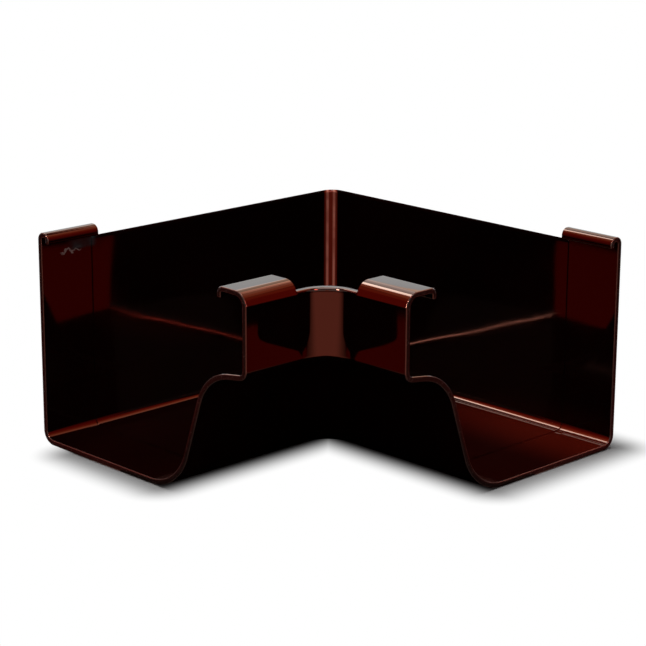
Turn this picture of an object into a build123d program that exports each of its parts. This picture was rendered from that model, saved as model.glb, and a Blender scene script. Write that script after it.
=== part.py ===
# Internal corner for an ogee gutter, moulded in one piece.
# The two fascia planes meet at the origin. One arm runs along +X and the other along -Y.

from math import radians, tan
import os

from build123d import *

os.makedirs("parts", exist_ok=True)

# Driving dimensions, in millimetres and degrees
ARM_LENGTH = 169.0  # fascia corner to the open end of an arm
GUTTER_WIDTH = 127.0  # back face to the face of the front band
WALL_HEIGHT = 85.0  # underside of the floor to the plain top edges
WALL = 2.7  # thickness of the floor, the back and the front
TOP_EDGE_RADIUS = 0.8  # rounding along the plain top edges and the tips of the lips

OGEE_REACH = 40.0  # where the floor and the leaning front would meet, to the face of the band
FRONT_LEAN = 18.8  # lean of the lower front from the vertical
LEDGE_HEIGHT = 54.6  # underside of the ledge where it would meet the band
LEDGE_RISE = 8.5  # rise of the ledge towards the band
HEEL_INNER_RADIUS = 3.2  # back wall to floor
BELLY_INNER_RADIUS = 21.3  # floor to leaning front
COVE_RADIUS = 19.0  # leaning front to ledge, on the outside
BAND_INNER_RADIUS = 1.8  # ledge to band

FRONT_CORNER_RADIUS = 13.0  # rounding of the front where the arms meet, in plan
BACK_CORNER_RADIUS = 6.0  # rounding of the back where the arms meet, in plan

RIM_HEIGHT = 1.2  # raised rim along the top of the band, above the slope under it
RIM_PROUD = 0.4  # rim in front of the face of the band

SOCKET_DEPTH = 26.0  # how far a length of gutter goes into an arm, under the clip and the hook
SOCKET_RECESS = 0.4  # step in the inner face where the gutter is seated
END_CHAMFER = 0.4  # along the edges of the open end

CLIP_RISE = 3.9  # front clip above the plain top edge
CLIP_REACH = 16.3  # face of the band to the back of the clip's lip
CLIP_SETBACK = 2.5  # face of the band to where the leaning face of the clip would meet its top
CLIP_WALL = 2.1
CLIP_INNER_RADIUS = 3.9  # under the bend over the band
CLIP_LIP = 2.6  # from under the clip to the tip of its lip
CLIP_LIP_INNER_RADIUS = 0.7  # under the bend into the lip

HOOK_RISE = 5.8  # back hook above the plain top edge
HOOK_GAP = 2.6  # between the back wall and the hook's lip
HOOK_WALL = 2.1
HOOK_INNER_RADIUS = 1.0  # under both bends of the fold
HOOK_LIP = 2.4  # from under the hook to the tip of its lip

# Sections are drawn with distance from the back face across and height up
END = Plane(origin=(ARM_LENGTH, 0, 0), x_dir=(0, -1, 0), z_dir=(-1, 0, 0))
SOCKET_FOOT = END.offset(SOCKET_DEPTH)
MITRE = Plane(origin=(0, 0, 0), z_dir=(1, 1, 0))

run_length = ARM_LENGTH - SOCKET_DEPTH
seat_wall = WALL - SOCKET_RECESS
seat_face = GUTTER_WIDTH - seat_wall

# The leaning front meets the ledge where their two straight lines cross
lean = tan(radians(FRONT_LEAN))
rise = tan(radians(LEDGE_RISE))
cove_height = (LEDGE_HEIGHT - rise * OGEE_REACH) / (1 - rise * lean)
floor_width = GUTTER_WIDTH - OGEE_REACH

heel = (0, 0)
belly = (floor_width, 0)
cove = (floor_width + lean * cove_height, cove_height)
band_foot = (GUTTER_WIDTH, LEDGE_HEIGHT)
band_middle = (LEDGE_HEIGHT + WALL_HEIGHT) / 2
ogee = [belly, cove, band_foot]

heel_radius = HEEL_INNER_RADIUS + WALL
ogee_radii = [BELLY_INNER_RADIUS + WALL, COVE_RADIUS, BAND_INNER_RADIUS + WALL]

rim_face = GUTTER_WIDTH + RIM_PROUD
rim_shoulder = WALL_HEIGHT - RIM_HEIGHT
rim_slope = [(GUTTER_WIDTH, rim_shoulder - RIM_PROUD), (rim_face, rim_shoulder)]

clip_top = WALL_HEIGHT + CLIP_RISE
clip_roof = clip_top - CLIP_WALL
clip_tip = clip_roof - CLIP_LIP
clip_front = GUTTER_WIDTH - CLIP_SETBACK
clip_back = GUTTER_WIDTH - CLIP_REACH
clip_lip = clip_back + CLIP_WALL

hook_top = WALL_HEIGHT + HOOK_RISE
hook_roof = hook_top - HOOK_WALL
hook_tip = hook_roof - HOOK_LIP
hook_lip = seat_wall + HOOK_GAP
hook_front = hook_lip + HOOK_WALL


def mitred_corner(run, radius):
    """Cut a straight run on the mitre and carry it round its half of the corner."""
    split(bisect_by=Plane(origin=(radius, 0, 0), z_dir=MITRE.z_dir))
    mitred_end = run.faces().filter_by(Axis((0, 0, 0), MITRE.z_dir))
    with BuildLine() as bend:
        CenterArc((radius, -radius), radius, 90, 45)
    sweep(sections=mitred_end, path=bend.line, normal=MITRE.z_dir)


# Floor and ogee front, with the rim along its top edge
with BuildPart() as front_run:
    with BuildSketch(SOCKET_FOOT) as front_section:
        floor_start = (heel_radius, 0)
        band_top = (GUTTER_WIDTH, WALL_HEIGHT)
        rim_top = (rim_face, WALL_HEIGHT)
        with BuildLine():
            outer = FilletPolyline(floor_start, *ogee, *rim_slope, rim_top, radius=[*ogee_radii, 0, 0])
            plain = FilletPolyline(floor_start, *ogee, band_top, radius=ogee_radii, mode=Mode.PRIVATE)
            inner = offset(plain, amount=WALL, side=Side.LEFT, closed=False, mode=Mode.ADD).wire()
            Line(outer @ 1, inner @ 0)
            Line(inner @ 1, outer @ 0)
        make_face()
        fillet(front_section.vertices().group_by(Axis.Y)[-1], TOP_EDGE_RADIUS)
    extrude(amount=run_length)
    mitred_corner(front_run, FRONT_CORNER_RADIUS)

# Back wall and the part of the floor beside it
with BuildPart() as back_run:
    with BuildSketch(SOCKET_FOOT) as back_section:
        with BuildLine():
            FilletPolyline((0, WALL_HEIGHT), heel, (floor_width / 2, 0), radius=heel_radius)
            offset(amount=WALL, side=Side.LEFT)
        make_face()
        fillet(back_section.vertices().group_by(Axis.Y)[-1], TOP_EDGE_RADIUS)
    extrude(amount=run_length)
    mitred_corner(back_run, BACK_CORNER_RADIUS)

# Socket, whose walls fold over into a hook at the back and a clip at the front
with BuildPart() as socket:
    with BuildSketch(END):
        back_middle = (0, band_middle)
        front_middle = (GUTTER_WIDTH, band_middle)
        hook = [
            (seat_wall, hook_roof),
            (hook_lip, hook_roof),
            (hook_lip, hook_tip),
            (hook_front, hook_tip),
            (hook_front, hook_top),
            (0, hook_top),
        ]
        hook_radii = [
            HOOK_INNER_RADIUS,
            HOOK_INNER_RADIUS,
            TOP_EDGE_RADIUS,
            TOP_EDGE_RADIUS,
            HOOK_INNER_RADIUS + HOOK_WALL,
            HOOK_INNER_RADIUS + HOOK_WALL,
        ]
        clip = [
            (clip_front, clip_top),
            (clip_back, clip_top),
            (clip_back, clip_tip),
            (clip_lip, clip_tip),
            (clip_lip, clip_roof),
            (seat_face, clip_roof),
        ]
        clip_radii = [
            CLIP_INNER_RADIUS + CLIP_WALL,
            CLIP_LIP_INNER_RADIUS + CLIP_WALL,
            TOP_EDGE_RADIUS,
            TOP_EDGE_RADIUS,
            CLIP_LIP_INNER_RADIUS,
            CLIP_INNER_RADIUS,
        ]
        with BuildLine():
            walls = FilletPolyline(
                back_middle,
                heel,
                *ogee,
                front_middle,
                radius=[heel_radius, *ogee_radii],
                mode=Mode.PRIVATE,
            )
            seat = offset(walls, amount=seat_wall, side=Side.LEFT, closed=False, mode=Mode.ADD).wire()
            FilletPolyline(
                seat @ 1,
                *hook,
                heel,
                *ogee,
                *rim_slope,
                *clip,
                seat @ 0,
                radius=[*hook_radii, heel_radius, *ogee_radii, 0, 0, *clip_radii],
            )
        make_face()
    extrude(amount=SOCKET_DEPTH)
    open_end = socket.faces().sort_by(Axis.X)[-1]
    chamfer(open_end.edges(), END_CHAMFER)

# One arm and its half of the corner, then its mirror image
with BuildPart() as gutter_corner:
    add(front_run.part)
    add(back_run.part)
    add(socket.part)
    mirror(about=MITRE)

gutter_corner.part.label = "gutter_corner"
export_step(gutter_corner.part, "parts/gutter_corner.step")
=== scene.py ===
"""Looks of a dark brown moulded gutter corner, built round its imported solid."""

from collections import namedtuple
from math import pi, radians

import bmesh
import bpy
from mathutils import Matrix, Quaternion, Vector


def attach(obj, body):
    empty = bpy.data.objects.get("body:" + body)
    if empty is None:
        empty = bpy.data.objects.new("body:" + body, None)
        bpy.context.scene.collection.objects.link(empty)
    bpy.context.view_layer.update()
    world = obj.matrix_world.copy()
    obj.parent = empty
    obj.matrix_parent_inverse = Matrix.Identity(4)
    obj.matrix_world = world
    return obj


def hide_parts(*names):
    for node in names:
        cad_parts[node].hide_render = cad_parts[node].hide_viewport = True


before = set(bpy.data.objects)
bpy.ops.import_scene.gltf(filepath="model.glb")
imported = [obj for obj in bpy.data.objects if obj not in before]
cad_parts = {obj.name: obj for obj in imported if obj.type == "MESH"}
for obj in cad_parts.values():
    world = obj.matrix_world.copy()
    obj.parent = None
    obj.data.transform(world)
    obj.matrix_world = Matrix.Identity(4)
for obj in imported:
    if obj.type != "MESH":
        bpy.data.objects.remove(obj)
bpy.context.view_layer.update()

scene = bpy.context.scene
scene.view_settings.view_transform = "Standard"

# Camera as it stood for the photograph, in metres and degrees, with lens and sensor in millimetres
CAMERA_PLACE = Vector((0.691601, -0.677937, 0.286879))
CAMERA_AIM = Vector((0.06156, -0.06557, 0.04486))
CAMERA_ROLL = 0.259
CAMERA_LENS = 118.76
CAMERA_SENSOR = 36.0
CAMERA_NEAR = 0.01

# Moulding, in metres and degrees
ARM_END = 0.169  # fascia corner to the open end of an arm
SOCKET_FOOT = 0.143  # fascia corner to the foot of a socket
BACK_CORNER = 0.006  # plan radius of the back corner
BELLY_CENTRE = (0.0698, 0.024)  # of the rounding between floor and front, from the back face and up
SKIN = 0.0001  # depth over which a mark on a face fades in
WELD = 1e-6  # points closer than this are joined
ROUND_OVER = 50.0  # bends up to this angle are shaded as round
EVEN_WEIGHT = 80  # how far large faces lead the shading of their edges, with 50 as even

# Marks, in metres: a pair says where a mark begins and where it is whole
END_FACE = (ARM_END - SKIN, ARM_END - SKIN / 2)
END_EDGE = (ARM_END - 5 * SKIN, ARM_END - 4 * SKIN)
INNER_FACE = (0.0034, 0.003)  # of a back wall, from its outside
INNER_FACE_BACK = (0.0012, 0.0018)
TRIM_HEIGHT = (0.084, 0.0843)

# Painted highlight down the inside of the back corner: a lighter strip with a broken line along each side
STRIP_SHIFT = 0.00096  # middle of the corner strip, off the mitre
STRIP_DEPTH = (0.0052, 0.0048)  # from the middle of the corner's bend
STRIP_HALF = (0.0046, 0.0034)
PAINTED_HIGHLIGHT_LINE = 0.0021  # line along the strip, from its middle
PAINTED_HIGHLIGHT_LINE_HALF = (0.0011, 0.0004)

# Grey painted reflection on the left back wall under the hook, and a scratch there
REFLECTION_PATCH_PLACE = (0.1485, 0.0832)  # along the arm and up
REFLECTION_PATCH_LENGTH = (0.0085, 0.003)
REFLECTION_PATCH_HEIGHT = (0.0028, 0.001)
SCRATCH_PLACE = (0.154, 0.0808)
SCRATCH_LENGTH = (0.006, 0.004)
SCRATCH_HALF = (0.0005, 0.0002)
SCRATCH_WANDER = 0.006

# Redder tint on the floor of the channel
CHANNEL_TINT_HEIGHT = (0.005, 0.003)
CHANNEL_TINT_RUN = (0.05, 0.15, 0.25, 1.0)  # a quarter at first, and whole along the right arm
HEEL_TINT_WIDTH = (0.045, 0.006)
HEEL_TINT_RUN = (0.06, 0.1)
SILT_RADIUS = (0.0229, 0.0222)
SILT_START = (0.0, 0.004)
SILT_HEIGHT = (0.024, 0.018)

# Grain of the marks, in grains per metre, and the stretch of it that shows
SPECK_GRAIN, SPECK_CUT = 1100.0, (0.56, 0.72)
LINE_GRAIN, LINE_CUT = 120.0, (0.3, 0.6, 0.5, 1.0)
REFLECTION_PATCH_GRAIN, REFLECTION_PATCH_CUT = 150.0, (0.3, 0.65, 0.3, 1.0)
CLOUD_GRAIN, CLOUD_CUT = 14.0, (0.35, 0.7)
STREAK_GRAIN, STREAK_CUT = 38.0, (0.42, 0.75)
SCRATCH_GRAIN = 230.0
NOISE_MIDDLE = 0.5

# Relief, in metres
WAVE_GRAIN = 16.0
WAVE_DEPTH = 0.0004
WAVE_DRAFT = -50.0  # lean of the walls that the reflections show, per metre of height
PEEL_GRAIN = 700.0
PEEL_DEPTH = 0.000004
PEEL_STRENGTH = 0.5

# Colours of the plastic and its marks
DEEP_BROWN = (0.003, 0.0004, 0.0003, 1.0)
WARM_BROWN = (0.006, 0.0006, 0.0005, 1.0)
CHANNEL_TINT_COLOUR = (0.016, 0.0014, 0.001, 1.0)
HEEL_TINT_COLOUR = (0.1, 0.007, 0.0025, 1.0)
# Painted highlight colours of the back corner's strip and of its lines
STRIP_PAINTED_HIGHLIGHT_COLOUR = (0.2, 0.014, 0.005, 1.0)
PAINTED_HIGHLIGHT_LINE_COLOUR = (0.7, 0.26, 0.18, 1.0)
# Grey of a painted reflection under the left hook
PAINTED_REFLECTION_COLOUR = (0.05, 0.065, 0.07, 1.0)
SCRATCH_COLOUR = (0.3, 0.25, 0.23, 1.0)
WORN_EDGE_COLOUR = (0.16, 0.09, 0.075, 1.0)
SAWN_COLOUR = (0.014, 0.006, 0.005, 1.0)
SAWN_SPECK_COLOUR = (0.12, 0.07, 0.06, 1.0)

# Gloss of the plastic and its marks
EDGE_WEAR = 0.4
GLOSS_ROUGHNESS = 0.045
STREAK_ROUGHNESS = 0.04
MATT_ROUGHNESS = 0.3
GLOSS_SHINE = 0.5
MATT_SHINE = 0.15
GLOSS_TINT = (1.0, 0.68, 0.58, 1.0)

# Studio, in metres
OBJECT_MIDDLE = Vector((0.075, -0.075, 0.045))
WHITE = (1.0, 1.0, 1.0, 1.0)
BLACK = (0.0, 0.0, 0.0)
SKY_LEVEL = 0.2
# Grey of the floor close by the object, a painted shadow that the real shadow deepens
PAINTED_SHADOW_FLOOR_COLOUR = (0.35, 0.35, 0.35, 1.0)
FLOOR_HALF = 6.0
SHADOW_START = 0.022  # from the outside of the left back wall to where the floor takes the shadow
SHADOW_REACH = 0.02
CONTACT_WIDTH = 0.075  # of the flat underside, from the back face

# Sheets that lie under the object: how deep, as each hides those that lie deeper
UNDER_CARD_DROP = 0.00004
SIDE_CARD_DROP = 0.00006
FRONT_CARD_DROP = 0.00008
FLOOR_DROP = 0.0001

# Cards that lie on the floor, black or glowing, seen only in the gloss: where they run from and to along x,
# and then along y
UNDER_CARD = (0.05, 0.215, -0.215, -0.05)
FRONT_CARD = (0.0, 0.8, -0.8, 0.0)
FRONT_CARD_COLOUR = (1.6, 0.46, 0.32)
FRONT_CARD_EDGE = 0.2
NEAR_CARD = (0.17, 0.34, -0.05, 0.35)
NEAR_CARD_COLOUR = (0.38, 0.01, 0.005)
FAR_CARD = (0.34, 1.4, -0.05, 1.2)

# Cards that stand behind the object, glowing, seen only in the gloss: their ends in plan, and their heights
# with colours
TALL_OUTER = (0.92, 0.28)
TALL_INNER_LOW = (0.28, 0.92)
TALL_INNER_HIGH = (0.0, 1.05)
TALL_WIDENS = 0.9
TALL_BANDS = (
    (0.0, 0.2, (0.35, 0.015, 0.008)),
    (0.2, 0.4, (0.8, 0.03, 0.012)),
    (0.4, 0.65, (1.0, 0.04, 0.015)),
    (0.65, TALL_WIDENS, (1.4, 0.13, 0.05)),
    (TALL_WIDENS, 1.2, (2.0, 0.4, 0.18)),
    (1.2, 1.58, (2.2, 0.7, 0.4)),
)
REAR_MIDDLE = (-0.85, 0.85)
REAR_LEFT = (-1.2, 0.0)
REAR_RIGHT = (0.0, 1.2)
REAR_FOOT = 0.5
REAR_LEFT_TOP = 1.58
REAR_RIGHT_TOP = 1.4
REAR_LEFT_COLOUR = (2.2, 1.7, 1.5)
REAR_RIGHT_COLOUR = (1.6, 1.0, 0.7)
CEILING_HALF = 3.0
CEILING_HEIGHT = 1.6
CEILING_COLOUR = (0.3, 0.03, 0.02)

# Where a point lies on the moulding, as sockets of a material
Spot = namedtuple("Spot", "point along_x along_y up outermost across")


def place_camera():
    lens = bpy.data.cameras.new("photo_camera")
    lens.lens = CAMERA_LENS
    lens.sensor_width = CAMERA_SENSOR
    lens.clip_start = CAMERA_NEAR
    camera = bpy.data.objects.new("photo_camera", lens)
    scene.collection.objects.link(camera)
    look = (CAMERA_AIM - CAMERA_PLACE).to_track_quat("-Z", "Y")
    camera.rotation_mode = "QUATERNION"
    camera.rotation_quaternion = look @ Quaternion((0, 0, 1), radians(CAMERA_ROLL))
    camera.location = CAMERA_PLACE
    scene.camera = camera


def new_tree(owner):
    """Empty the nodes of a material, a lamp or the world."""
    owner.use_nodes = True
    tree = owner.node_tree
    tree.nodes.clear()
    return tree


def feed(tree, socket, value):
    """Link an input to another node's output, or set it to a plain value."""
    if isinstance(value, bpy.types.NodeSocket):
        tree.links.new(value, socket)
    else:
        socket.default_value = value


def add_node(tree, kind, settings=None, **inputs):
    """Add a node, set its options, and feed its inputs by name, or by number as in _0."""
    made = tree.nodes.new(kind)
    for option, value in (settings or {}).items():
        setattr(made, option, value)
    for name, value in inputs.items():
        key = int(name[1:]) if name[0] == "_" else name.replace("_", " ")
        feed(tree, made.inputs[key], value)
    return made


def calculate(tree, operation, *values):
    made = tree.nodes.new("ShaderNodeMath")
    made.operation = operation
    for socket, value in zip(made.inputs, values):
        feed(tree, socket, value)
    return made.outputs[0]


def plus(tree, one, other):
    return calculate(tree, "ADD", one, other)


def minus(tree, one, other):
    return calculate(tree, "SUBTRACT", one, other)


def times(tree, first, *others):
    product = first
    for other in others:
        product = calculate(tree, "MULTIPLY", product, other)
    return product


def most(tree, first, *others):
    largest = first
    for other in others:
        largest = calculate(tree, "MAXIMUM", largest, other)
    return largest


def least(tree, one, other):
    return calculate(tree, "MINIMUM", one, other)


def apart(tree, one, other):
    """How far two values are from each other."""
    return calculate(tree, "ABSOLUTE", minus(tree, one, other))


def hypotenuse(tree, one, other):
    return calculate(tree, "SQRT", plus(tree, times(tree, one, one), times(tree, other, other)))


def reach_outside(tree, across, low, high):
    """How far a coordinate lies outside a stretch."""
    return most(tree, minus(tree, low, across), minus(tree, across, high), 0.0)


def fade(tree, value, low, high, to_low=0.0, to_high=1.0):
    """Carry a value smoothly from one range to another."""
    made = add_node(
        tree,
        "ShaderNodeMapRange",
        {"interpolation_type": "SMOOTHSTEP"},
        Value=value,
        From_Min=low,
        From_Max=high,
        To_Min=to_low,
        To_Max=to_high,
    )
    return made.outputs["Result"]


def blend_colour(tree, amount, under, over):
    made = add_node(tree, "ShaderNodeMix", {"data_type": "RGBA"}, _0=amount, _6=under, _7=over)
    return made.outputs[2]


def noise(tree, spot, grain, detail=2.0, roughness=0.5):
    made = add_node(
        tree,
        "ShaderNodeTexNoise",
        Vector=spot.point,
        Scale=grain,
        Detail=detail,
        Roughness=roughness,
    )
    return made.outputs["Fac"]


def background_ray(tree):
    """One for what the camera, a reflection or a clear body sees, and nought for light on a surface."""
    path = tree.nodes.new("ShaderNodeLightPath")
    rays = ("Is Camera Ray", "Is Glossy Ray", "Is Transmission Ray")
    return most(tree, *(path.outputs[ray] for ray in rays))


def reflected_within(tree, reflections):
    """One for a ray that was reflected at most so many times, and nought after that."""
    path = tree.nodes.new("ShaderNodeLightPath")
    return calculate(tree, "LESS_THAN", path.outputs["Glossy Depth"], reflections + 0.5)


def find_spot(tree):
    """Measure a point from both fascias, up, towards the end of its arm and off the back of it."""
    point = tree.nodes.new("ShaderNodeTexCoord").outputs["Object"]
    axes = add_node(tree, "ShaderNodeSeparateXYZ", Vector=point)
    along_x = axes.outputs["X"]
    along_y = times(tree, axes.outputs["Y"], -1.0)
    outermost = most(tree, along_x, along_y)
    across = least(tree, along_x, along_y)
    return Spot(point, along_x, along_y, axes.outputs["Z"], outermost, across)


def painted_corner_highlight(tree, spot):
    """Dull strip down the inside of the back corner, painted lighter as a painted highlight, and a broken
    painted highlight line along each side of it.
    """
    from_x = minus(tree, spot.along_x, BACK_CORNER)
    from_y = minus(tree, spot.along_y, BACK_CORNER)
    inside = fade(tree, hypotenuse(tree, from_x, from_y), *STRIP_DEPTH)
    off_middle = apart(tree, plus(tree, spot.along_x, STRIP_SHIFT), spot.along_y)
    strip = times(tree, inside, fade(tree, off_middle, *STRIP_HALF))
    broken = fade(tree, noise(tree, spot, LINE_GRAIN), *LINE_CUT)
    highlight_lines = times(tree, fade(tree, apart(tree, off_middle, PAINTED_HIGHLIGHT_LINE), *PAINTED_HIGHLIGHT_LINE_HALF), broken)
    return strip, highlight_lines


def painted_reflection_and_scratch(tree, spot):
    """Grey painted reflection, left dull, and a scratch on the inner face of the left arm's back wall,
    under its hook.
    """
    on_face = times(tree, fade(tree, spot.along_x, *INNER_FACE), fade(tree, spot.along_x, *INNER_FACE_BACK))
    beside = fade(tree, apart(tree, spot.along_y, REFLECTION_PATCH_PLACE[0]), *REFLECTION_PATCH_LENGTH)
    level = fade(tree, apart(tree, spot.up, REFLECTION_PATCH_PLACE[1]), *REFLECTION_PATCH_HEIGHT)
    patches = fade(tree, noise(tree, spot, REFLECTION_PATCH_GRAIN), *REFLECTION_PATCH_CUT)
    dull_painted_reflection = times(tree, beside, level, on_face, patches)
    wander = times(tree, minus(tree, noise(tree, spot, SCRATCH_GRAIN), NOISE_MIDDLE), SCRATCH_WANDER)
    off_scratch = apart(tree, minus(tree, spot.up, SCRATCH_PLACE[1]), wander)
    length = fade(tree, apart(tree, spot.along_y, SCRATCH_PLACE[0]), *SCRATCH_LENGTH)
    scratch = times(tree, fade(tree, off_scratch, *SCRATCH_HALF), length, on_face)
    return dull_painted_reflection, scratch


def trimmed_edges(tree, spot):
    """Plain top edges of the back walls, trimmed dull."""
    on_wall = fade(tree, spot.across, *INNER_FACE)
    on_run = fade(tree, spot.outermost, SOCKET_FOOT + SKIN, SOCKET_FOOT - SKIN)
    return times(tree, on_wall, on_run, fade(tree, spot.up, *TRIM_HEIGHT))


def channel_floor_tint(tree, spot):
    """Redder tint on the floor of the channel, and its colour, which is redder still by the right arm's
    heel.
    """
    floor_tint = times(tree, fade(tree, spot.up, *CHANNEL_TINT_HEIGHT), fade(tree, spot.along_x, *CHANNEL_TINT_RUN))
    near = fade(tree, spot.along_y, *HEEL_TINT_WIDTH)
    by_heel = times(tree, near, fade(tree, spot.along_x, *HEEL_TINT_RUN))
    return floor_tint, blend_colour(tree, by_heel, CHANNEL_TINT_COLOUR, HEEL_TINT_COLOUR)


def belly_silt(tree, spot):
    """Dull film inside the rounding between floor and front."""
    run = minus(tree, spot.across, BELLY_CENTRE[0])
    rise = minus(tree, spot.up, BELLY_CENTRE[1])
    inside = fade(tree, hypotenuse(tree, run, rise), *SILT_RADIUS)
    return times(tree, inside, fade(tree, run, *SILT_START), fade(tree, spot.up, *SILT_HEIGHT))


def moulded_relief(tree, spot):
    """Slow waves of the moulding under a fine orange peel."""
    height = plus(tree, noise(tree, spot, WAVE_GRAIN, detail=1.0), times(tree, spot.up, WAVE_DRAFT))
    waves = add_node(tree, "ShaderNodeBump", Strength=1.0, Distance=WAVE_DEPTH, Height=height)
    peel = add_node(
        tree,
        "ShaderNodeBump",
        Strength=PEEL_STRENGTH,
        Distance=PEEL_DEPTH,
        Height=noise(tree, spot, PEEL_GRAIN),
        Normal=waves.outputs["Normal"],
    )
    return peel.outputs["Normal"]


def brown_plastic():
    """Glossy red-brown plastic, coloured through, with moulding waves, scuffs and dull sawn ends."""
    material = bpy.data.materials.new("brown_plastic")
    tree = new_tree(material)
    spot = find_spot(tree)
    ends = fade(tree, spot.outermost, *END_FACE)
    edges = fade(tree, spot.outermost, *END_EDGE)
    strip, highlight_lines = painted_corner_highlight(tree, spot)
    dull_painted_reflection, scratch = painted_reflection_and_scratch(tree, spot)
    trimmed = trimmed_edges(tree, spot)
    floor_tint, floor_tint_colour = channel_floor_tint(tree, spot)
    silt = belly_silt(tree, spot)

    # Colour, from the plastic up through the marks that lie on it, with a painted highlight in the back
    # corner and a painted reflection under the left hook
    clouds = fade(tree, noise(tree, spot, CLOUD_GRAIN, detail=3.0), *CLOUD_CUT)
    specks = fade(tree, noise(tree, spot, SPECK_GRAIN, detail=3.0, roughness=0.6), *SPECK_CUT)
    strip_highlight_colour = blend_colour(tree, highlight_lines, STRIP_PAINTED_HIGHLIGHT_COLOUR, PAINTED_HIGHLIGHT_LINE_COLOUR)
    sawn_colour = blend_colour(tree, specks, SAWN_COLOUR, SAWN_SPECK_COLOUR)
    colour = blend_colour(tree, clouds, DEEP_BROWN, WARM_BROWN)
    colour = blend_colour(tree, floor_tint, colour, floor_tint_colour)
    colour = blend_colour(tree, strip, colour, strip_highlight_colour)
    colour = blend_colour(tree, dull_painted_reflection, colour, PAINTED_REFLECTION_COLOUR)
    colour = blend_colour(tree, scratch, colour, SCRATCH_COLOUR)
    colour = blend_colour(tree, times(tree, edges, EDGE_WEAR), colour, WORN_EDGE_COLOUR)
    colour = blend_colour(tree, ends, colour, sawn_colour)

    # Gloss, with faint streaks, and dull where a mark lies
    matt = most(tree, ends, strip, trimmed, dull_painted_reflection, silt)
    streaks = fade(tree, noise(tree, spot, STREAK_GRAIN, detail=5.0, roughness=0.6), *STREAK_CUT)
    polish = plus(tree, times(tree, streaks, STREAK_ROUGHNESS), GLOSS_ROUGHNESS)
    roughness = plus(tree, polish, times(tree, matt, MATT_ROUGHNESS))
    shine = times(tree, fade(tree, matt, 0.0, 1.0, GLOSS_SHINE, MATT_SHINE), minus(tree, 1.0, trimmed))

    shader = add_node(
        tree,
        "ShaderNodeBsdfPrincipled",
        Base_Color=colour,
        Roughness=roughness,
        Normal=moulded_relief(tree, spot),
        Specular_IOR_Level=shine,
        Specular_Tint=GLOSS_TINT,
    )
    add_node(tree, "ShaderNodeOutputMaterial", Surface=shader.outputs["BSDF"])
    return material


def moulding_skin(node):
    """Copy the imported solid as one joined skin, so that light runs smoothly over its bends."""
    build = bmesh.new()
    build.from_mesh(node.data)
    bmesh.ops.remove_doubles(build, verts=build.verts, dist=WELD)
    for face in build.faces:
        face.smooth = True
        face.material_index = 0
    skin = bpy.data.meshes.new("corner_moulding")
    build.to_mesh(skin)
    build.free()
    own_normals = skin.attributes.get("custom_normal")
    if own_normals:
        skin.attributes.remove(own_normals)
    skin.set_sharp_from_angle(angle=radians(ROUND_OVER))
    moulding = bpy.data.objects.new("corner_moulding", skin)
    scene.collection.objects.link(moulding)
    even = moulding.modifiers.new("even_shading", "WEIGHTED_NORMAL")
    even.keep_sharp = True
    even.weight = EVEN_WEIGHT
    skin.materials.append(brown_plastic())
    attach(moulding, "root")
    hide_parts("gutter_corner")


def laid(low_x, high_x, low_y, high_y, height):
    """Corners of a sheet that lies flat."""
    return [
        (low_x, low_y, height),
        (high_x, low_y, height),
        (high_x, high_y, height),
        (low_x, high_y, height),
    ]


def upright(one, other, low, high):
    """Corners of a sheet that stands between two places in plan."""
    return [(*one, low), (*other, low), (*other, high), (*one, high)]


def stage_sheet(name, corners, material):
    sheet = bpy.data.meshes.new(name)
    sheet.from_pydata(corners, [], [range(len(corners))])
    sheet.materials.append(material)
    placed = bpy.data.objects.new(name, sheet)
    scene.collection.objects.link(placed)
    return placed


def studio_floor():
    """White floor that is grey close by the object, a painted shadow that also takes the object's real
    shadow, and runs into the white behind it.
    """
    material = bpy.data.materials.new("studio_floor")
    tree = new_tree(material)
    place = tree.nodes.new("ShaderNodeTexCoord").outputs["Object"]
    axes = add_node(tree, "ShaderNodeSeparateXYZ", Vector=place)
    x = axes.outputs["X"]
    y = axes.outputs["Y"]
    long_x = reach_outside(tree, x, SHADOW_START, ARM_END)
    long_y = reach_outside(tree, y, -ARM_END, 0.0)
    wide_x = reach_outside(tree, x, SHADOW_START, CONTACT_WIDTH)
    wide_y = reach_outside(tree, y, -CONTACT_WIDTH, 0.0)
    from_arms = least(tree, hypotenuse(tree, long_x, wide_y), hypotenuse(tree, wide_x, long_y))
    # Close by the object the floor shows the grey of a painted shadow, lit and shaded for real; further out
    # it is plain white
    away = fade(tree, from_arms, 0.0, SHADOW_REACH)
    shaded = add_node(tree, "ShaderNodeBsdfDiffuse", Color=PAINTED_SHADOW_FLOOR_COLOUR)
    lit = add_node(tree, "ShaderNodeEmission", Color=WHITE, Strength=1.0)
    share = times(tree, background_ray(tree), away)
    both = add_node(tree, "ShaderNodeMixShader", _0=share, _1=shaded.outputs[0], _2=lit.outputs[0])
    add_node(tree, "ShaderNodeOutputMaterial", Surface=both.outputs[0])
    corners = laid(-FLOOR_HALF, FLOOR_HALF, -FLOOR_HALF, FLOOR_HALF, -FLOOR_DROP)
    stage_sheet("studio_floor", corners, material)


def card(name, corners, colour, soft_edge=None):
    """Place a glowing coloured card that only the gloss of the object sees, and not by way of a second
    reflection.

    With a soft edge, it fades out over that width towards both fascia planes.
    """
    material = bpy.data.materials.new(name)
    tree = new_tree(material)
    level = reflected_within(tree, 1)
    if soft_edge:
        spot = find_spot(tree)
        for reach in (spot.along_x, spot.along_y):
            level = times(tree, level, fade(tree, reach, 0.0, soft_edge))
    glow = add_node(tree, "ShaderNodeEmission", Color=(*colour, 1.0), Strength=level)
    add_node(tree, "ShaderNodeOutputMaterial", Surface=glow.outputs[0])
    placed = stage_sheet(name, corners, material)
    placed.visible_camera = False
    placed.visible_diffuse = False
    placed.visible_shadow = False
    placed.visible_transmission = False


def both_sides(name, corners, colour):
    """Place one card on the right and its mirror image on the left."""
    card(name + "_right", corners, colour)
    card(name + "_left", [(-y, -x, z) for x, y, z in corners], colour)


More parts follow.
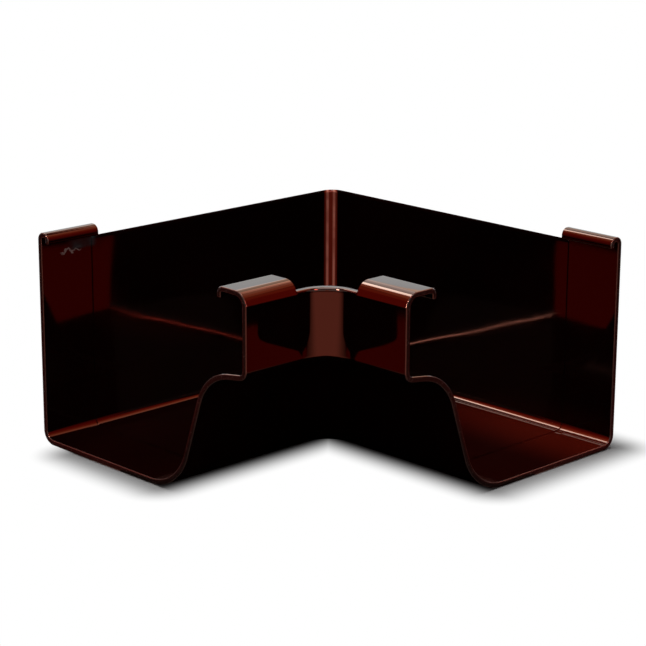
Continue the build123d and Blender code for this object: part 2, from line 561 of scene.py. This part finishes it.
def studio_cards():
    card("under_card", laid(*UNDER_CARD, -UNDER_CARD_DROP), BLACK)
    card("front_card", laid(*FRONT_CARD, -FRONT_CARD_DROP), FRONT_CARD_COLOUR, FRONT_CARD_EDGE)
    both_sides("near_card", laid(*NEAR_CARD, -SIDE_CARD_DROP), NEAR_CARD_COLOUR)
    both_sides("far_card", laid(*FAR_CARD, -SIDE_CARD_DROP), BLACK)
    for low, high, colour in TALL_BANDS:
        inner = TALL_INNER_LOW if low < TALL_WIDENS else TALL_INNER_HIGH
        both_sides("tall_card", upright(TALL_OUTER, inner, low, high), colour)
    left = upright(REAR_MIDDLE, REAR_LEFT, REAR_FOOT, REAR_LEFT_TOP)
    right = upright(REAR_MIDDLE, REAR_RIGHT, REAR_FOOT, REAR_RIGHT_TOP)
    ceiling = laid(-CEILING_HALF, CEILING_HALF, -CEILING_HALF, CEILING_HALF, CEILING_HEIGHT)
    card("rear_card_left", left, REAR_LEFT_COLOUR)
    card("rear_card_right", right, REAR_RIGHT_COLOUR)
    card("ceiling_card", ceiling, CEILING_COLOUR)


def studio_sky():
    """Soft light from all round, which looks plain white where it is seen."""
    scene.world = bpy.data.worlds.new("studio_sky")
    tree = new_tree(scene.world)
    light = add_node(tree, "ShaderNodeBackground", Color=WHITE, Strength=SKY_LEVEL)
    white = add_node(tree, "ShaderNodeBackground", Color=WHITE, Strength=1.0)
    seen = background_ray(tree)
    both = add_node(tree, "ShaderNodeMixShader", _0=seen, _1=light.outputs[0], _2=white.outputs[0])
    add_node(tree, "ShaderNodeOutputWorld", Surface=both.outputs[0])


def softbox(name, place, size, brightness, colour=WHITE[:3], gloss_only=True, reflections=2):
    """Hang a soft lamp whose face has the given brightness, out of the camera's sight.

    It shows in the gloss by way of at most the given number of reflections.
    """
    width, height = size
    panel = bpy.data.lights.new(name, "AREA")
    panel.shape = "RECTANGLE"
    panel.size = width
    panel.size_y = height
    panel.color = colour
    panel.energy = brightness * pi * width * height
    panel.cycles.max_bounces = reflections - 1
    tree = new_tree(panel)
    glow = add_node(tree, "ShaderNodeEmission", Color=WHITE, Strength=reflected_within(tree, reflections))
    add_node(tree, "ShaderNodeOutputLight", Surface=glow.outputs[0])
    lamp = bpy.data.objects.new(name, panel)
    scene.collection.objects.link(lamp)
    lamp.location = place
    lamp.rotation_mode = "QUATERNION"
    lamp.rotation_quaternion = (OBJECT_MIDDLE - Vector(place)).to_track_quat("-Z", "Y")
    lamp.visible_camera = False
    lamp.visible_diffuse = not gloss_only


def studio_lamps():
    softbox("top_light", place=(0.1, -0.1, 1.2), size=(0.7, 0.7), brightness=5.0, gloss_only=False)
    softbox(
        "high_key",
        place=(-0.66, -0.02, 1.03),
        size=(0.28, 0.28),
        brightness=12.0,
        colour=(1.0, 0.86, 0.76),
    )
    softbox(
        "fill_light",
        place=(-0.14, 0.65, 0.94),
        size=(0.3, 0.3),
        brightness=3.0,
        colour=(1.0, 0.45, 0.3),
        reflections=1,
    )
    softbox(
        "front_left",
        place=(0.135, -1.0, 0.915),
        size=(0.1, 0.36),
        brightness=200.0,
        colour=(1.0, 0.55, 0.45),
    )
    softbox(
        "front_right",
        place=(1.0, -0.135, 0.915),
        size=(0.16, 0.36),
        brightness=60.0,
        colour=(1.0, 0.18, 0.14),
    )


place_camera()
moulding_skin(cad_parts["gutter_corner"])
studio_floor()
studio_cards()
studio_sky()
studio_lamps()
